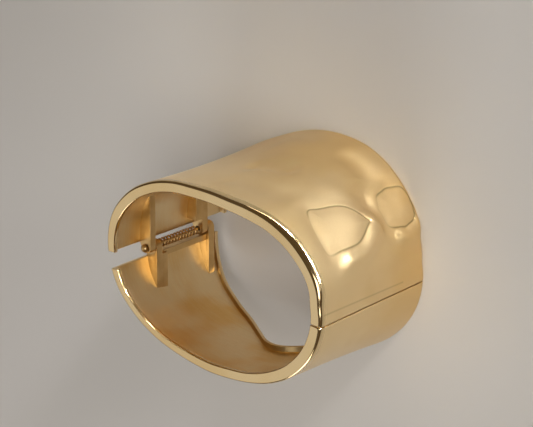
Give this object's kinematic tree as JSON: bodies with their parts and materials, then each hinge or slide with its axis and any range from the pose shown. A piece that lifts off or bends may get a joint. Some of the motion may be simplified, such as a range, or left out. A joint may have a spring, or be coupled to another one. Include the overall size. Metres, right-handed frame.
{
  "type": "kada, a hinged cuff bangle",
  "caption": "Wide hinged cuff bangle in polished gold finish, with turned-in rims, thumb-pressed hollows, a wavy rear rim and a spring hinge.",
  "frame": {"origin": "middle of the outline on the surface that the bangle lies on", "axes": "+Z along the bore from the rear rim, which is down, to the front rim; +X from the hinge to the clasp seam; +Y towards the upper half"},
  "size_m": [0.0652, 0.0492, 0.037],
  "materials": {
    "gold": "high-polish gold plate outside, finely brushed inside",
    "pin": "satin gold plate",
    "spring": "satin gold-coloured spring wire"
  },
  "bodies": {
    "upper_half": {"upper_shell": "gold", "hinge_pin": "pin", "hinge_spring": "spring"},
    "lower_half": {"lower_shell": "gold"}
  },
  "joints": [
    {"name": "hinge", "type": "hinge", "parent": "upper_half", "child": "lower_half", "pos_m": [-0.02964, -0.0044, 0.017], "axis": [0, 0, -1], "range_deg": [0, 40]}
  ]
}
